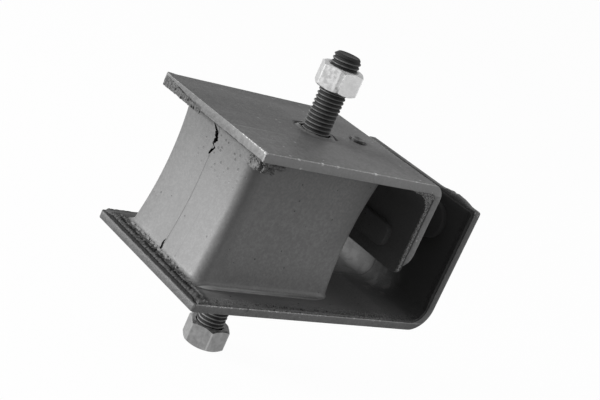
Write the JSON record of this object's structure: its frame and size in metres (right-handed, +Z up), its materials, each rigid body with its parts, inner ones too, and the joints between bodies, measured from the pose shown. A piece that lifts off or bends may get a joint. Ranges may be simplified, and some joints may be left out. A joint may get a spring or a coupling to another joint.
{
  "type": "engine mount",
  "caption": "Leaning rubber block bonded between folded steel brackets, with a threaded stud and a hex nut on each, that carries an engine and damps its vibration.",
  "frame": {"origin": "where the lower stud's axis meets the lower bracket's seat face, its underside", "axes": "+Z up along both studs, +X towards the brackets' folded flanges, +Y across the mount; it is symmetric about the XZ plane"},
  "size_m": [0.1305, 0.077, 0.1368],
  "materials": {
    "bracket_steel": "satin",
    "black_rubber": "satin",
    "stud_steel": "satin",
    "nut_zinc": "satin"
  },
  "bodies": {
    "root": {"lower_bracket": "bracket_steel", "upper_bracket": "bracket_steel", "rubber_block": "black_rubber", "lower_stud": "stud_steel", "upper_stud": "stud_steel", "lower_nut": "nut_zinc", "upper_nut": "nut_zinc"}
  },
  "joints": []
}
